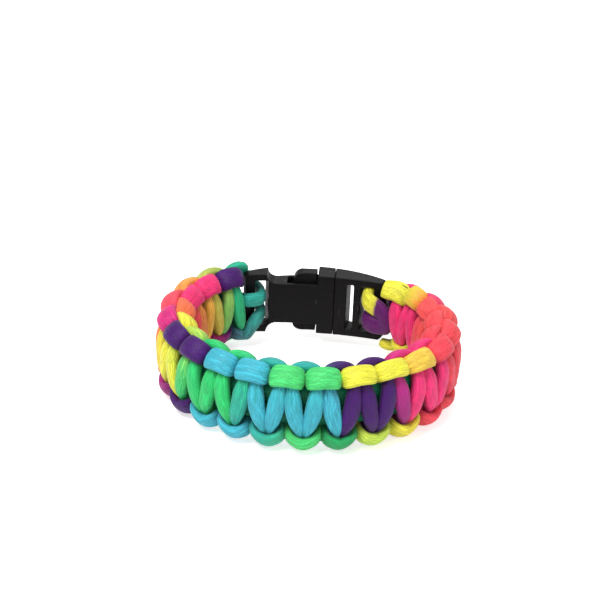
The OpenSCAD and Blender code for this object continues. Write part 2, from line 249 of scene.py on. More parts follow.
def drawn(row):
    """A row of the regular weave pulled as by hand, by where on a loop, corner or bar it lies."""
    run, side, out, *turns, width, thick = row
    slim = bell(run, SLIM_MIDDLE, SLIM_SPAN)
    # a block at the upper edge, with its corners, is drawn in to its centre
    if side > CORNER_SIDE and (out > CORNER_OUT or -CORNER_OUT < out < 0):
        centre = 2 * math.floor(run / 2) + 1
        run = centre + (run - centre) * (1 - BLOCK_GAP * (1 - slim))
    # an outer loop at the lower edge
    if side < -LOOP_SIDE and out > 0:
        side += SCALLOP * (1 - math.cos(math.pi * run)) / 2 - OUTER_SINK
    # an inner loop at the lower edge
    elif side < -LOOP_SIDE:
        side += INNER_LIFT
    # the upper half of a bar
    elif 0 < side < BAR_SIDE and abs(out) > BAR_OUT:
        middle = math.floor(run) + 0.5
        run = middle + (run - middle) * UPRIGHT
        thick += SHOULDER * side
    # an inner loop at the upper edge, with its corners
    elif side > CORNER_SIDE and out < CORNER_OUT:
        side -= FIRST_DROP * (run < 1)
        run += FIRST_LENGTH * bell(run, 1, FIRST_SPAN)
    # a block at the upper edge
    elif side > LOOP_SIDE:
        near = max(0, 1 - run / LOW_KNOTS)
        side = side - LOW_DROP * near + SLIM_LIFT * slim
        out *= 1 - LOW_PULL * near
        width *= 1 - SLIM_LOSS * slim
    return Row(run, side, out, *turns, width, thick)


def drawn_in(rows):
    return [drawn(row) for row in rows]


def end_rows(table):
    """The rows of a strand's cut end by the hitch."""
    return [Row(-away * HITCH_LENGTH / PITCH, side, out, 0, lean, width, thick)
            for away, side, out, lean, width, thick in table]


def lens_radius(drop):
    """Radius of a curve that falls by drop from the buckle's middle to its tip."""
    x = BACK_RADIUS * math.sin(BUCKLE_TURN)
    return (x * x / drop + drop) / 2


def lens_thickness(run):
    """Thickness of the buckle at a distance along its curve."""
    drop = BACK_RADIUS * (1 - math.cos(BUCKLE_TURN))
    loss = (BUCKLE_THICKNESS - TIP_THICKNESS) / 2
    x = BACK_RADIUS * math.sin(run / BACK_RADIUS)
    outer, inner = (r - math.sqrt(r * r - x * x)
                    for r in (lens_radius(drop + loss), lens_radius(drop - loss)))
    return BUCKLE_THICKNESS - outer + inner


WRAP_OUT = (lens_thickness(BAR_CENTRE) + FLAT_SHARE * CORD_D) / 2 + WRAP_CLEARANCE


def wrap_row(place, bar, way):
    """A row of a wrap round an end bar, whose middle lies at a distance along the loop."""
    share, side, out, *section = place
    run = bar + way * (share * WRAP_RUN)
    return Row((run - WEAVE_START) / PITCH, side, out * WRAP_OUT / CORD_D, *section)


def socket_rows():
    return [wrap_row(place, LOOP_LENGTH - BAR_CENTRE, -1) for place in SOCKET_WRAP]


def plug_rows():
    return [wrap_row(place, BAR_CENTRE, 1) for place in PLUG_HITCH]


def core_row(run, way, swing, size=1.0):
    return Row(run, way * CORE_SIDE, 0, swing, 90, size * CORE_WIDTH, size * CORE_ROUND)


def stub_rows():
    """The cut end of a strand, lying in the weave against the end of a core run."""
    end = CORE_END + CORE_GAP / PITCH
    rows = ([core_row(HALF_KNOTS - 1, -1, 0)]
            + [core_row(end + away, -1, 0, size) for away, size in reversed(CUT_END)])
    return [row._replace(lean=-90) for row in rows]


def face_rows():
    return standing_off(drawn_in(end_rows(FACE_END) + weave_rows())) + socket_rows() + stub_rows()


def edge_rows():
    return (standing_off(end_rows(EDGE_END) + drawn_in(turned_over(weave_rows())))
            + turned_over(socket_rows() + stub_rows()))


def core_rows():
    """One run from its cut end to the plug, the hitch round the plug's bar, and the other run back."""
    tip = [(CORE_END - away, size) for away, size in CUT_END]
    places = tip + [(run, 1) for run in range(CORE_END - 1, 0, -1)] + [(CORE_START, 1)]
    there = [core_row(run, 1, 0, size) for run, size in places]
    back = [core_row(run, -1, 180, size) for run, size in reversed(places)]
    return there + plug_rows() + back


# Node trees

def math_method(operation):
    """A method that adds a math node to its number's tree."""
    def run(self, *others):
        return self.work(operation, *others)
    return run


class Number:
    """A number in a node tree, worked on with Python's own signs.

    size is how large it is without its sign, part is its fraction, and over is 1 where it is larger.
    """

    def __init__(self, tree, socket):
        self.tree, self.socket = tree, socket

    def work(self, operation, *others):
        node = self.tree.nodes.new("ShaderNodeMath")
        node.operation = operation
        for slot, value in zip(node.inputs, (self, *others)):
            feed(self.tree, slot, value)
        return Number(self.tree, node.outputs[0])

    __add__ = __radd__ = math_method("ADD")
    __sub__ = math_method("SUBTRACT")
    __mul__ = __rmul__ = math_method("MULTIPLY")
    __truediv__ = math_method("DIVIDE")
    sin, cos = math_method("SINE"), math_method("COSINE")
    size, part = math_method("ABSOLUTE"), math_method("FRACT")
    least, most = math_method("MINIMUM"), math_method("MAXIMUM")
    power, over = math_method("POWER"), math_method("GREATER_THAN")

    def __rsub__(self, other):
        return (self * -1.0) + other

    def rise(self, low, high):
        """0 below low, 1 above high, smooth between them."""
        node = self.tree.nodes.new("ShaderNodeMapRange")
        node.interpolation_type = "SMOOTHSTEP"
        for slot, value in zip(node.inputs, (self, low, high, 0.0, 1.0)):
            feed(self.tree, slot, value)
        return Number(self.tree, node.outputs[0])


def feed(tree, slot, value):
    """Sets an input to a plain value, or joins it to a socket."""
    if isinstance(value, Number):
        value = value.socket
    if isinstance(value, bpy.types.NodeSocket):
        tree.links.new(value, slot)
    else:
        slot.default_value = value


def put(tree, kind, inputs=None, **settings):
    """Adds a node with its settings, and feeds its inputs by name or number."""
    node = tree.nodes.new(kind)
    for name, value in settings.items():
        setattr(node, name, value)
    for name, value in (inputs or {}).items():
        feed(tree, node.inputs[name], value)
    return node


def vector_work(tree, operation, *values):
    """Adds a vector math node. A scale's second value is its factor."""
    node = put(tree, "ShaderNodeVectorMath", operation=operation)
    slots = (node.inputs[0], node.inputs["Scale"]) if operation == "SCALE" else node.inputs
    for slot, value in zip(slots, values):
        feed(tree, slot, value)
    return node.outputs["Value" if operation == "DOT_PRODUCT" else "Vector"]


def join(tree, x, y, z):
    return put(tree, "ShaderNodeCombineXYZ", {0: x, 1: y, 2: z}).outputs[0]


def split(tree, vector):
    return [Number(tree, s) for s in put(tree, "ShaderNodeSeparateXYZ", {0: vector}).outputs]


def add_sockets(tree, inputs, outputs):
    """Makes a tree's named sockets. An input is a kind, or a kind and its default."""
    for name, kind in inputs.items():
        kind, default = kind if isinstance(kind, tuple) else (kind, None)
        made = tree.interface.new_socket(name, in_out="INPUT", socket_type="NodeSocket" + kind)
        if default is not None:
            made.default_value = default
    for name, kind in outputs.items():
        tree.interface.new_socket(name, in_out="OUTPUT", socket_type="NodeSocket" + kind)
    return tree.nodes.new("NodeGroupInput").outputs, tree.nodes.new("NodeGroupOutput").inputs


# Trees that grow the cords

# Steps that a cord's curve is worked out in between two rows, the length and noise scale of the
# soft dents in its skin, and how near two points are when they count as one
CURVE_STEPS = 16
DENT_LENGTH = 4 * MM
DENT_SCALE = 0.8
SAME_POINT = 0.002 * MM
# What a tree keeps on a cord only while it grows
GROWTH_MARKS = ("wide", "half_width", "half_thickness", "spine", "heading", "along", "around")


def arc_tree():
    """Group that lays a run, a height and a distance out on the three arcs of the loop."""
    tree = bpy.data.node_groups.new("Round the wrist", "GeometryNodeTree")
    given, result = add_sockets(tree, {
        "Laid flat": "Vector", "Back radius": ("Float", BACK_RADIUS), "Side radius": ("Float", SIDE_RADIUS),
        "Front radius": ("Float", FRONT_RADIUS), "Side turn": ("Float", SIDE_TURN),
        "Buckle half": ("Float", BUCKLE_HALF), "Loop length": ("Float", LOOP_LENGTH),
        "Back": ("Float", BACK_Y), "Height": ("Float", BAND_HALF)}, {"Position": "Vector"})
    run, side, out = split(tree, given["Laid flat"])
    back, sides, front, turn, half, length, back_y, height = (
        Number(tree, given[name]) for name in
        ("Back radius", "Side radius", "Front radius", "Side turn", "Buckle half", "Loop length",
         "Back", "Height"))
    t = run - run.over(length * 0.5) * length
    way = 1.0 - (t * -1.0).over(0.0) * 2.0
    t = t.size()
    side_length = sides * turn
    buckle_turn = half / back
    front_start = buckle_turn + turn
    on_side = (t - half).most(0.0).least(side_length)
    angle = (t.least(half) / back + on_side / sides + (t - half - side_length).most(0.0) / front)
    on_back, on_front = angle.least(buckle_turn), angle.most(front_start)
    between = angle.most(buckle_turn).least(front_start)
    along = (back * on_back.sin() + sides * (between.sin() - buckle_turn.sin())
             + front * (on_front.sin() - front_start.sin()))
    away = (back * (1.0 - on_back.cos()) + sides * (buckle_turn.cos() - between.cos())
            + front * (front_start.cos() - on_front.cos()))
    place = join(tree, way * (along + out * angle.sin()), back_y - away + out * angle.cos(), side + height)
    feed(tree, result["Position"], place)
    return tree


def tuck_depth(tree, place):
    """How far a place lies inside the band's rounded outline: 0 on it, 1 at the band's middle."""
    _, side, out = split(tree, place)
    level = ((side.size() / (EDGE_SPAN * CORD_D)).power(OUTLINE_POWER)
             + (out.size() / (FACE_SPAN * CORD_D)).power(OUTLINE_POWER))
    return 1.0 - level.power(1 / OUTLINE_POWER)


def named(tree, name, kind="FLOAT_VECTOR"):
    node = put(tree, "GeometryNodeInputNamedAttribute", {"Name": name}, data_type=kind)
    return node.outputs["Attribute"]


def keep(tree, geometry, name, value, kind="FLOAT_VECTOR", domain="POINT"):
    node = put(tree, "GeometryNodeStoreNamedAttribute", {"Geometry": geometry, "Name": name},
               data_type=kind, domain=domain)
    feed(tree, node.inputs["Value"], value)
    return node.outputs[0]


def spine_line(tree, given):
    """The rows as a smooth curve that keeps its own place, heading and length at each ring."""
    line = put(tree, "GeometryNodeMeshToCurve", {"Mesh": given["Geometry"]}).outputs[0]
    line = put(tree, "GeometryNodeCurveSplineType", {"Curve": line}, spline_type="CATMULL_ROM").outputs[0]
    line = put(tree, "GeometryNodeSetSplineResolution", {
        "Geometry": line, "Resolution": CURVE_STEPS}).outputs[0]
    line = put(tree, "GeometryNodeResampleCurve", {"Curve": line, "Length": given["Ring spacing"]},
               mode="LENGTH").outputs[0]
    line = keep(tree, line, "spine", tree.nodes.new("GeometryNodeInputPosition").outputs[0])
    line = keep(tree, line, "heading", tree.nodes.new("GeometryNodeInputTangent").outputs[0])
    length = tree.nodes.new("GeometryNodeSplineParameter").outputs["Length"]
    return keep(tree, line, "along", length, "FLOAT")


def ring_line(tree, given):
    """A short line that counts the points of a ring, its last one at the place of its first."""
    count = put(tree, "ShaderNodeMath", {0: given["Points round"], 1: 1.0}, operation="ADD").outputs[0]
    ring = put(tree, "GeometryNodeCurvePrimitiveLine", {"End": (MM, 0, 0)}).outputs[0]
    ring = put(tree, "GeometryNodeResampleCurve", {"Curve": ring, "Count": count}, mode="COUNT").outputs[0]
    share = tree.nodes.new("GeometryNodeSplineParameter").outputs["Factor"]
    return keep(tree, ring, "around", share, "FLOAT")


def section_axes(tree):
    """The wide and the thin way of a cord's section, square to its heading."""
    heading, wide = named(tree, "heading"), named(tree, "wide")
    across = vector_work(tree, "DOT_PRODUCT", wide, heading)
    wide = vector_work(tree, "SUBTRACT", wide, vector_work(tree, "SCALE", heading, across))
    wide = vector_work(tree, "NORMALIZE", wide)
    return wide, vector_work(tree, "CROSS_PRODUCT", heading, wide)


def skin_place(tree, given, along, around):
    """Where a point of the skin lies, on a squarish and slightly uneven section."""
    wide, thin = section_axes(tree)
    turn = around * FULL_TURN
    cos, sin = turn.cos(), turn.sin()
    square = Number(tree, given["Squareness"])
    shrink = (cos.size().power(square) + sin.size().power(square)).power(square.power(-1.0) * -1.0)
    noise = put(tree, "ShaderNodeTexNoise", {
        "Vector": join(tree, cos, sin, along * (1 / DENT_LENGTH)), "W": given["Seed"],
        "Scale": DENT_SCALE, "Detail": 1.0}, noise_dimensions="4D")
    uneven = (Number(tree, noise.outputs[0]) - 0.5) * 2.0 * Number(tree, given["Unevenness"]) + 1.0
    reach = shrink * uneven
    place = named(tree, "spine")
    for way, share, size in ((wide, cos, "half_width"), (thin, sin, "half_thickness")):
        step = share * reach * Number(tree, named(tree, size, "FLOAT"))
        place = vector_work(tree, "ADD", place, vector_work(tree, "SCALE", way, step))
    return place


def cord_tree():
    """Tree that sweeps a cord's flattened section along its rows and lays it round the loop."""
    tree = bpy.data.node_groups.new("Cord along its knots", "GeometryNodeTree")
    given, result = add_sockets(tree, {
        "Geometry": "Geometry", "Ring spacing": ("Float", 0.5 * MM), "Points round": ("Int", 36),
        "Squareness": ("Float", 2.15), "Unevenness": ("Float", 0.03), "Seed": ("Float", 0.0),
        "Material": "Material"}, {"Geometry": "Geometry"})
    skin = put(tree, "GeometryNodeCurveToMesh", {
        "Curve": spine_line(tree, given), "Profile Curve": ring_line(tree, given)}).outputs[0]
    skin = put(tree, "GeometryNodeFlipFaces", {"Mesh": skin}).outputs[0]
    along, around = (Number(tree, named(tree, name, "FLOAT")) for name in ("along", "around"))
    flat = skin_place(tree, given, along, around)
    place = put(tree, "GeometryNodeGroup", {"Laid flat": flat}, node_tree=arc_tree()).outputs[0]
    # How deep in the weave each point lies, kept for the painted shade of the cord materials
    skin = keep(tree, skin, "tuck", tuck_depth(tree, flat), "FLOAT")
    skin = put(tree, "GeometryNodeSetPosition", {"Geometry": skin, "Position": place}).outputs[0]
    skin = keep(tree, skin, "cord_uv", join(tree, along, around, 0.0), "FLOAT2", "CORNER")
    skin = put(tree, "GeometryNodeMergeByDistance", {"Geometry": skin, "Distance": SAME_POINT}).outputs[0]
    skin = put(tree, "GeometryNodeSetShadeSmooth", {"Geometry": skin}).outputs[0]
    skin = put(tree, "GeometryNodeRealizeInstances", {"Geometry": skin}).outputs[0]
    skin = put(tree, "GeometryNodeSetMaterial", {
        "Geometry": skin, "Material": given["Material"]}).outputs[0]
    feed(tree, result["Geometry"], skin)
    return tree


# Cords

def wide_way(swing, lean):
    """Which way a section's wide axis lies, from its swing and lean in degrees."""
    swing, lean = math.radians(swing), math.radians(lean)
    return math.sin(swing), math.cos(swing) * math.sin(lean), math.cos(swing) * math.cos(lean)


def row_line(name, rows, first, unit):
    """The rows as a line of points, each with its section, and with its place in the dye chart.

    The chart counts from the first row given, and unit is how many rows it counts as one.
    """
    mesh = bpy.data.meshes.new(name)
    mesh.from_pydata([(WEAVE_START + r.run * PITCH, r.side * CORD_D, r.out * CORD_D) for r in rows],
                     [(i, i + 1) for i in range(len(rows) - 1)], [])
    wide = [part for r in rows for part in wide_way(r.swing, r.lean)]
    mesh.attributes.new("wide", "FLOAT_VECTOR", "POINT").data.foreach_set("vector", wide)
    for label, values in (("half_width", [r.width * CORD_D for r in rows]),
                          ("half_thickness", [r.thick * CORD_D for r in rows]),
                          ("dyed_at", [(i - first) / unit for i in range(len(rows))])):
        mesh.attributes.new(label, "FLOAT", "POINT").data.foreach_set("value", values)
    line = bpy.data.objects.new(name, mesh)
    bpy.context.collection.objects.link(line)
    return line


def grow(piece, tree, **inputs):
    """Runs a node tree on a piece and keeps its result as a plain mesh."""
    modifier = piece.modifiers.new("Growth", "NODES")
    modifier.node_group = tree
    keys = {item.name: item.identifier for item in tree.interface.items_tree if item.in_out == "INPUT"}
    for name, value in inputs.items():
        modifier[keys[name.replace("_", " ")]] = value
    depsgraph = bpy.context.evaluated_depsgraph_get()
    mesh = bpy.data.meshes.new_from_object(piece.evaluated_get(depsgraph), preserve_all_data_layers=True,
                                           depsgraph=depsgraph)
    piece.modifiers.clear()
    piece.data = mesh
    mesh.name = piece.name
    for label in GROWTH_MARKS:
        if label in mesh.attributes:
            mesh.attributes.remove(mesh.attributes[label])


def cord_piece(name, node, rows, chart_rows, tree, material, seed, spacing):
    """A cord along its rows. chart_rows says which row the dye chart starts at, and its unit in rows."""
    piece = row_line(name, rows, *chart_rows)
    grow(piece, tree, Ring_spacing=spacing, Seed=seed, Material=material)
    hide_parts(node)
    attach(piece, "root")


# Cord materials

DYES = {
    "yellow": (0.90, 0.88, 0.26), "gold": (0.92, 0.76, 0.28), "orange": (0.95, 0.55, 0.25),
    "coral": (0.95, 0.33, 0.32), "red": (0.93, 0.27, 0.33), "pink": (0.93, 0.20, 0.46),
    "magenta": (0.70, 0.14, 0.50), "purple": (0.25, 0.035, 0.39), "cyan": (0.25, 0.69, 0.77),
    "teal": (0.17, 0.66, 0.60), "green": (0.17, 0.77, 0.42), "lime": (0.72, 0.86, 0.32),
    # Painted shade and light: the two greens after plum are green darkened for the shade on a lower loop,
    # and green made paler for the light on the blocks
    "bottle": (0.05, 0.50, 0.36), "plum": (0.37, 0.06, 0.39), "shaded_green": (0.14, 0.64, 0.36),
    "lit_green": (0.29, 0.81, 0.44),
}
# Where each dye lies along a strand, in half knots from the plug
FACE_DYES = [(-0.6, "yellow"), (1.9, "yellow"), (2.2, "orange"), (2.5, "coral"), (8.4, "red"),
             (9.4, "pink"), (11.7, "pink"), (12.4, "magenta"), (13.1, "purple"), (16.1, "purple"),
             (16.4, "cyan"), (17.5, "cyan"), (18.0, "teal"), (18.5, "cyan"), (19.5, "cyan"),
             (20.0, "teal"), (20.5, "cyan"), (21.4, "teal"), (22.1, "green"), (25.5, "green"),
             (26.0, "lime"), (26.6, "yellow"), (28.2, "yellow"), (29.4, "orange"), (30.6, "red"),
             (32.0, "pink"), (34.4, "pink"), (35.2, "purple"), (36.6, "purple"), (37.4, "teal"),
             (41.0, "cyan")]
# Its greens from 15.8 to 19.4 are painted: a darker green as shade on the lower loop there, then a paler
# green for the rest, as painted light on lit blocks
EDGE_DYES = [(-0.6, "yellow"), (-0.1, "yellow"), (0.35, "pink"), (2.8, "pink"), (3.6, "coral"),
             (9.2, "red"), (10.3, "red"), (10.8, "gold"), (11.5, "gold"), (12.2, "yellow"),
             (13.5, "yellow"), (14.0, "lime"), (14.6, "yellow"), (15.4, "yellow"), (15.8, "shaded_green"),
             (16.3, "shaded_green"), (16.8, "lit_green"), (19.4, "lit_green"), (20.1, "teal"), (20.7, "cyan"),
             (24.3, "cyan"), (24.7, "purple"), (27.4, "purple"), (28.2, "magenta"), (29.6, "pink"),
             (31.5, "coral"), (34.0, "gold"), (36.0, "green"), (37.4, "teal"), (41.0, "teal")]
# Where each dye lies along the core, in rows of its table from the hitch's first one
CORE_DYES = [(-40, "bottle"), (-3, "bottle"), (-1, "plum"), (1.4, "plum"), (2.2, "yellow"),
             (8.0, "yellow"), (8.4, "plum"), (26, "plum"), (30, "bottle"), (60, "bottle")]
# How far, in half knots, a dye runs into the next one from yarn to yarn
DYE_BLEED = 0.3
# Where a melted end shows, in half knots and turns round the strand, with its half length and half turn
FACE_BURNS = [(-0.42, 0.5, 0.04, 1.0), (0.09, 0.86, 0.035, 0.012)]
EDGE_BURNS = [(-0.5, 0.5, 0.04, 1.0)]
# Its colour, the shares of its size that its edge fades between, and how far, in half knots, the
# yarns make that edge ragged
MELTED = (0.05, 0.035, 0.01, 1)
MELT_EDGE = (0.5, 1.3)
MELT_RAGGED = 0.06
# The darkest colour, and how much of it the braid's grooves take as painted shade, the darker yarns as
# their own tone, and each step into the weave as painted shade
DARK = (0, 0, 0, 1)
GROOVE_SHADE = 0.24
YARN_SHADE = 0.5
TUCK_SHADE = 0.35
TUCK_STEPS = [(0.1, 0.4), (0.35, 0.7)]
# What the paler yarns are dodged with, and which yarns are pale
BRIGHTER = (0.2, 0.2, 0.2, 1)
PALE_YARNS = (0.5, 0.8)
# How far the braid's rows wander, in rows
WANDER = 0.7
# The length along the cord of the wander's, the fibres' and the blotches' noise, and the radius
# in noise units of the circle that each takes round the cord
WANDER_LENGTH, WANDER_CIRCLE = 5 * MM, 2.0
FIBRE_LENGTH, FIBRE_CIRCLE = 2.6 * MM, 5.5
BLOTCH_LENGTH, BLOTCH_CIRCLE = 9 * MM, 1.0
BLOTCH_SCALE = 2.2
# The braid's height: the shares that a yarn's crown and a stitch's swell take off it at their
# edges, how square they are, and what a fibre adds
CROWN_LOSS = 0.3
SWELL_LOSS = 0.7
YARN_SQUARE = 0.5
FIBRE_HEIGHT = 0.4
# The noise values that fibres show between, their share in a yarn's paleness beside the
# blotches, and the heights that the grooves' painted shade comes in between
FIBRES = (0.32, 0.68)
FIBRE_SHARE = 0.6
GROOVES = (0.35, 0.85)


def linear(colour):
    """A colour as it looks on screen, turned into the light values that shaders use."""
    return tuple(c / 12.92 if c <= 0.04045 else ((c + 0.055) / 1.055) ** 2.4 for c in colour) + (1.0,)


def mixed(tree, share, first, second, way="MIX"):
    """The first colour, with a share of the second laid over it."""
    return put(tree, "ShaderNodeMix", {0: share, 6: first, 7: second}, data_type="RGBA",
               blend_type=way).outputs[2]


def bumped(tree, shader, height, strength, depth):
    """Gives a shader a bump of this height map."""
    bump = put(tree, "ShaderNodeBump", {"Strength": strength, "Distance": depth, "Height": height})
    feed(tree, shader.inputs["Normal"], bump.outputs[0])


def sheath_noise(tree, along, turn, length, circle, **inputs):
    """Noise that closes round a cord, with changes of this length along it."""
    place = join(tree, turn.cos() * circle, turn.sin() * circle, along * (1 / length))
    return Number(tree, put(tree, "ShaderNodeTexNoise", {"Vector": place, **inputs}).outputs[0])


def sheath_group():
    """Group for a braided sheath: rows of yarn that lie in V shapes along the cord."""
    tree = bpy.data.node_groups.new("Braided sheath", "ShaderNodeTree")
    given, result = add_sockets(tree, {
        "UV": "Vector", "Rows round": ("Float", 14.0), "Stitch": ("Float", 1.4 * MM),
        "Slant": ("Float", 0.65)}, {"Height": "Float", "Groove": "Float", "Yarn": "Float"})
    along, around, _ = split(tree, given["UV"])
    rows, stitch, slant = (Number(tree, given[name]) for name in ("Rows round", "Stitch", "Slant"))
    turn = around * FULL_TURN
    wander = sheath_noise(tree, along, turn, WANDER_LENGTH, WANDER_CIRCLE, Scale=1.0, Detail=1.0)
    fibre = sheath_noise(tree, along, turn, FIBRE_LENGTH, FIBRE_CIRCLE, Scale=1.0, Detail=4.0,
                         Roughness=0.65).rise(*FIBRES)
    blotch = sheath_noise(tree, along, turn, BLOTCH_LENGTH, BLOTCH_CIRCLE, Scale=BLOTCH_SCALE, Detail=2.0)
    across = (around * rows + (wander - 0.5) * WANDER).part()
    crown = (across * FULL_TURN).sin().size().power(YARN_SQUARE)
    slanted = along / stitch + (across - 0.5).size() * 2.0 * slant + across.over(0.5) * 0.5
    swell = (slanted * math.pi).sin().size().power(YARN_SQUARE)
    height = (crown * CROWN_LOSS + (1 - CROWN_LOSS)) * (swell * SWELL_LOSS + (1 - SWELL_LOSS))
    feed(tree, result["Height"], height + fibre * FIBRE_HEIGHT)
    feed(tree, result["Groove"], 1.0 - height.rise(*GROOVES))
    feed(tree, result["Yarn"], fibre * FIBRE_SHARE + blotch * (1 - FIBRE_SHARE))
    return tree


def plain_material(name):
    """A new material, its node tree and the Principled shader in that tree."""
    material = bpy.data.materials.new(name)
    material.use_nodes = True
    tree = material.node_tree
    shader = next(n for n in tree.nodes if n.type == "BSDF_PRINCIPLED")
    return material, tree, shader


def burnt(tree, dyed, around, burns):
    """1 where a strand's cut end was melted, 0 elsewhere."""
    mask = dyed * 0.0
    for at, turn, length, spread in burns:
        away = ((dyed - at) / length).power(2.0) + ((around - turn) / spread).power(2.0)
        mask = mask.most(1.0 - away.rise(*MELT_EDGE))
    return mask


def dye_ramp(tree, place, chart):
    """The chart's dyes, looked up at a place along the strand."""
    low, high = chart[0][0], chart[-1][0]
    ramp = put(tree, "ShaderNodeValToRGB", {0: (place - low) / (high - low)})
    stops = ramp.color_ramp.elements
    for i, (at, dye) in enumerate(chart):
        share = (at - low) / (high - low)
        stop = stops[i] if i < 2 else stops.new(share)
        stop.position, stop.color = share, linear(DYES[dye])
    return ramp.outputs[0]


def cord_shade(tree, groove, yarn, tucked):
    """How dark a cord is painted: shade painted in its grooves and deep in the weave, and its darker yarns'
    own tone.
    """
    tuck = Number(tree, put(tree, "ShaderNodeAttribute", attribute_name="tuck").outputs["Fac"])
    depth = groove * GROOVE_SHADE + (0.5 - yarn) * YARN_SHADE
    for start, end in TUCK_STEPS:
        depth = depth + tuck.rise(start, end) * (TUCK_SHADE * tucked)
    return depth.least(1.0).most(0.0)


def cord_material(name, chart, sheath, tilt=0.0, tucked=1.0, burns=()):
    """Rainbow-dyed braided cord. tilt slants the dyes' edges, and tucked is how strong its painted shade in
    the weave is.
    """
    material, tree, shader = plain_material(name)
    uv = put(tree, "ShaderNodeAttribute", attribute_name="cord_uv").outputs["Vector"]
    braid = put(tree, "ShaderNodeGroup", {"UV": uv}, node_tree=sheath)
    yarn, groove = (Number(tree, braid.outputs[name]) for name in ("Yarn", "Groove"))
    dyed = Number(tree, put(tree, "ShaderNodeAttribute", attribute_name="dyed_at").outputs["Fac"])
    around = split(tree, uv)[1]
    place = dyed + (yarn - 0.5) * DYE_BLEED + (around * FULL_TURN).cos() * tilt
    dye = dye_ramp(tree, place, chart)
    if burns:
        melt = burnt(tree, dyed + (yarn - 0.5) * MELT_RAGGED, around, burns)
        dye = mixed(tree, melt, dye, MELTED)
    paler = mixed(tree, yarn.rise(*PALE_YARNS), dye, BRIGHTER, "DODGE")
    # Painted shade: the colour darkens towards black in the braid's grooves and deep in the weave, beside
    # the darker yarns' own tone
    shaded = mixed(tree, cord_shade(tree, groove, yarn, tucked), paler, DARK)
    feed(tree, shader.inputs["Base Color"], shaded)
    # Painted light: a faint glow in the cord's own colour, which brightens its parts in shade
    feed(tree, shader.inputs["Emission Color"], shaded)
    shader.inputs["Emission Strength"].default_value = 0.05
    feed(tree, shader.inputs["Roughness"], yarn * 0.2 + 0.42)
    shader.inputs["Specular IOR Level"].default_value = 0.3
    shader.inputs["Sheen Weight"].default_value = 0.12
    shader.inputs["Sheen Roughness"].default_value = 0.4
    bumped(tree, shader, braid.outputs["Height"], strength=0.7, depth=0.12 * MM)
    return material


# Plastic

# The noise of patches and of scratches: their number a metre, and the scratches' turn
PATCHES = 140.0
SCRATCH_STRETCH = (90.0, 900.0, 1400.0)
SCRATCH_TURN = (0.3, 0.2, 0.5)
# The values that scratches, worn edges and worn patches show between
SCRATCHES = (0.6, 0.75)
WORN_EDGES = (0.52, 0.62)
WORN_PATCHES = (0.35, 0.65)
# The colour of worn plastic and how much of it shows, and the black of each half
WORN = (0.09, 0.085, 0.09, 1)
WORN_SHARE = 0.25
SOCKET_BLACK = (0.006, 0.0054, 0.0065, 1)
PLUG_BLACK = (0.0065, 0.0058, 0.007, 1)


def grain_group():
    """Group for moulded plastic: a fine cast grain, faint scuffs and paler worn edges."""
    tree = bpy.data.node_groups.new("Moulded grain", "ShaderNodeTree")
    given, result = add_sockets(tree, {"Place": "Vector", "Edge": "Float", "Grain": ("Float", 0.16 * MM)},
                                {"Height": "Float", "Wear": "Float", "Scuff": "Float"})
    place, edge = given["Place"], Number(tree, given["Edge"])
    fine = Number(tree, given["Grain"]).power(-1.0)
    grain = put(tree, "ShaderNodeTexNoise", {"Vector": place, "Scale": fine, "Detail": 2.0})
    patch = put(tree, "ShaderNodeTexNoise", {"Vector": place, "Scale": PATCHES, "Detail": 3.0})
    stretched = put(tree, "ShaderNodeMapping", {"Vector": place, "Scale": SCRATCH_STRETCH,
                                                "Rotation": SCRATCH_TURN})
    scratch = put(tree, "ShaderNodeTexNoise", {"Vector": stretched.outputs[0], "Scale": 1.0, "Detail": 1.0})
    patches = Number(tree, patch.outputs[0])
    scratches = Number(tree, scratch.outputs[0]).rise(*SCRATCHES)
    feed(tree, result["Height"], grain.outputs[0])
    feed(tree, result["Wear"], edge.rise(*WORN_EDGES) * patches.rise(*WORN_PATCHES))
    feed(tree, result["Scuff"], scratches * 0.5 + patches * 0.5)
    return tree


def plastic_material(name, grain, black):
    """Black moulded plastic."""
    material, tree, shader = plain_material(name)
    group = put(tree, "ShaderNodeGroup", {
        "Place": tree.nodes.new("ShaderNodeTexCoord").outputs["Object"],
        "Edge": tree.nodes.new("ShaderNodeNewGeometry").outputs["Pointiness"]}, node_tree=grain)
    wear, scuff = (Number(tree, group.outputs[name]) for name in ("Wear", "Scuff"))
    feed(tree, shader.inputs["Base Color"], mixed(tree, wear * WORN_SHARE, black, WORN))
    feed(tree, shader.inputs["Roughness"], scuff * 0.2 + 0.36)
    shader.inputs["Specular IOR Level"].default_value = 0.14
    bumped(tree, shader, group.outputs["Height"], strength=0.25, depth=0.03 * MM)
    return material


# Buckle

# How far the plug's face at the seam is moved over, how near to it a point is part of that face,
# and how near two points are when they are welded
SEAM_TAKEN_UP = 0.2 * MM
SEAM_REACH = 0.02 * MM
WELD = 0.001 * MM
# The grid that a moulding is remade on, the passes that soften its edges and what each one moves,
# and the share of the faces that is kept
MOULD_GRID = 0.16 * MM
SOFT_PASSES = 5
SOFT_SHARE = 0.5
FACES_KEPT = 0.5


def seam_closed(source, closed_seam):
    """A copy of a solid's mesh, welded, with its face at the seam moved over by closed_seam."""
    mesh = source.data.copy()
    work = bmesh.new()
    work.from_mesh(mesh)
    bmesh.ops.remove_doubles(work, verts=work.verts, dist=WELD)
    for vert in work.verts:
        if abs(vert.co.x - BASE_START_X) < SEAM_REACH:
            vert.co.x -= closed_seam
    work.to_mesh(mesh)
    work.free()
    mesh.materials.clear()
    return mesh


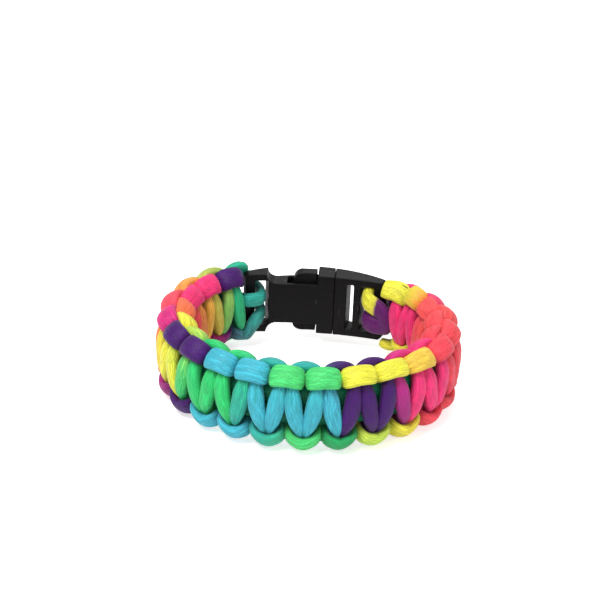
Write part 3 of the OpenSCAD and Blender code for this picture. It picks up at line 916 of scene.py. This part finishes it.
def softened(piece):
    """Runs a piece through the modifiers that give it the soft edges of a moulding."""
    remesh = piece.modifiers.new("Remesh", "REMESH")
    remesh.mode, remesh.voxel_size, remesh.use_smooth_shade = "VOXEL", MOULD_GRID, True
    soften = piece.modifiers.new("Soften", "SMOOTH")
    soften.factor, soften.iterations = SOFT_SHARE, SOFT_PASSES
    fewer = piece.modifiers.new("Fewer", "DECIMATE")
    fewer.ratio = FACES_KEPT
    depsgraph = bpy.context.evaluated_depsgraph_get()
    made = bpy.data.meshes.new_from_object(piece.evaluated_get(depsgraph), depsgraph=depsgraph)
    piece.modifiers.clear()
    return made


def moulded_piece(name, node, material, closed_seam=0.0):
    """A half of the buckle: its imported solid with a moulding's soft edges, pressed to the other half."""
    piece = bpy.data.objects.new(name, seam_closed(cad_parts[node], closed_seam))
    bpy.context.collection.objects.link(piece)
    piece.data = softened(piece)
    piece.data.name = name
    piece.data.materials.append(material)
    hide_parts(node)
    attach(piece, "root")


# Setting

TARGET = Vector((0.0, 1.03 * MM, BAND_HALF))
CAMERA_DISTANCE = 461 * MM
CAMERA_ELEVATION = math.radians(29.5)
CAMERA_YAW = math.radians(-2.6)
CAMERA_ROLL = math.radians(2.4)
SENSOR_WIDTH = 36
FOCAL_PIXELS = 1843
PICTURE_PIXELS = 600
TARGET_PIXEL = (308.1, 349.7)
# Place in metres, width in metres and watts of each light
LIGHTS = {"Key light": ((-0.22, -0.26, 0.68), 0.30, 4.3), "Fill light": ((0.5, -0.5, 0.35), 0.5, 0.9),
          "Back light": ((0.1, 0.6, 0.5), 0.4, 0.9)}
WORLD_LIGHT = 0.5
FLOOR_REACH = 6.0
FLOOR_GLOW = 0.6
FLOOR_WHITE = (0.93, 0.93, 0.93, 1)
WHITE = (1, 1, 1, 1)


def make_camera():
    data = bpy.data.cameras.new("Camera")
    data.sensor_width = SENSOR_WIDTH
    data.lens = FOCAL_PIXELS / PICTURE_PIXELS * data.sensor_width
    data.shift_x = (PICTURE_PIXELS / 2 - TARGET_PIXEL[0]) / PICTURE_PIXELS
    data.shift_y = (TARGET_PIXEL[1] - PICTURE_PIXELS / 2) / PICTURE_PIXELS
    data.clip_start, data.clip_end = 0.01, 20
    camera = bpy.data.objects.new("Camera", data)
    bpy.context.collection.objects.link(camera)
    level = math.cos(CAMERA_ELEVATION)
    back = Vector((-level * math.sin(CAMERA_YAW), -level * math.cos(CAMERA_YAW),
                   math.sin(CAMERA_ELEVATION)))
    turn = back.to_track_quat("Z", "Y").to_matrix().to_4x4() @ Matrix.Rotation(CAMERA_ROLL, 4, "Z")
    camera.matrix_world = Matrix.Translation(TARGET + back * CAMERA_DISTANCE) @ turn
    bpy.context.scene.camera = camera


def soft_light(name, place, width, power):
    data = bpy.data.lights.new(name, "AREA")
    data.shape, data.size, data.energy = "DISK", width, power
    light = bpy.data.objects.new(name, data)
    bpy.context.collection.objects.link(light)
    light.location = place
    light.rotation_euler = (TARGET - Vector(place)).to_track_quat("-Z", "Y").to_euler()


def light_scene():
    for name, (place, width, power) in LIGHTS.items():
        soft_light(name, place, width, power)
    world = bpy.data.worlds.new("Studio")
    bpy.context.scene.world = world
    world.use_nodes = True
    colour, strength = world.node_tree.nodes["Background"].inputs[:2]
    colour.default_value, strength.default_value = WHITE, WORLD_LIGHT


def floor_material():
    """Pale paper that glows only to the camera, so that it looks white and lights nothing."""
    material, tree, shader = plain_material("Pale floor")
    noise = put(tree, "ShaderNodeTexNoise", {
        "Vector": tree.nodes.new("ShaderNodeTexCoord").outputs["Object"], "Scale": 6.0, "Detail": 2.0})
    feed(tree, shader.inputs["Roughness"], Number(tree, noise.outputs[0]) * 0.1 + 0.6)
    shader.inputs["Base Color"].default_value = FLOOR_WHITE
    shader.inputs["Emission Color"].default_value = WHITE
    seen = Number(tree, tree.nodes.new("ShaderNodeLightPath").outputs["Is Camera Ray"])
    feed(tree, shader.inputs["Emission Strength"], seen * FLOOR_GLOW)
    return material


def make_floor(height):
    mesh = bpy.data.meshes.new("Floor")
    corners = ((-1, -1), (1, -1), (1, 1), (-1, 1))
    mesh.from_pydata([(x * FLOOR_REACH, y * FLOOR_REACH, height) for x, y in corners], [], [(0, 1, 2, 3)])
    mesh.materials.append(floor_material())
    floor = bpy.data.objects.new("Floor", mesh)
    bpy.context.collection.objects.link(floor)
    floor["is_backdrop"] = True


# The bracelet

make_camera()
light_scene()

tree, sheath = cord_tree(), sheath_group()
cord_piece("Face_strand", "face_strand", face_rows(), (len(FACE_END), ROWS_A_KNOT), tree,
           cord_material("Face strand cord", FACE_DYES, sheath, burns=FACE_BURNS),
           seed=1.0, spacing=0.5 * MM)
cord_piece("Edge_strand", "edge_strand", edge_rows(), (len(EDGE_END), ROWS_A_KNOT), tree,
           cord_material("Edge strand cord", EDGE_DYES, sheath, burns=EDGE_BURNS),
           seed=2.0, spacing=0.5 * MM)
# The core takes less of the painted shade in the weave
cord_piece("Core_cord", "core_cord", core_rows(), (CORE_RUN_ROWS, 1), tree,
           cord_material("Core cord", CORE_DYES, sheath, tilt=0.35, tucked=0.4),
           seed=3.0, spacing=0.4 * MM)

grain = grain_group()
moulded_piece("Buckle_socket", "buckle_socket", plastic_material("Socket plastic", grain, SOCKET_BLACK))
moulded_piece("Buckle_plug", "buckle_plug", plastic_material("Plug plastic", grain, PLUG_BLACK),
              SEAM_TAKEN_UP)

bpy.context.view_layer.update()
make_floor(min(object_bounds()[0].z, cad_box[0].z))
bpy.context.scene.view_settings.view_transform = "Standard"

bpy.context.view_layer.update()
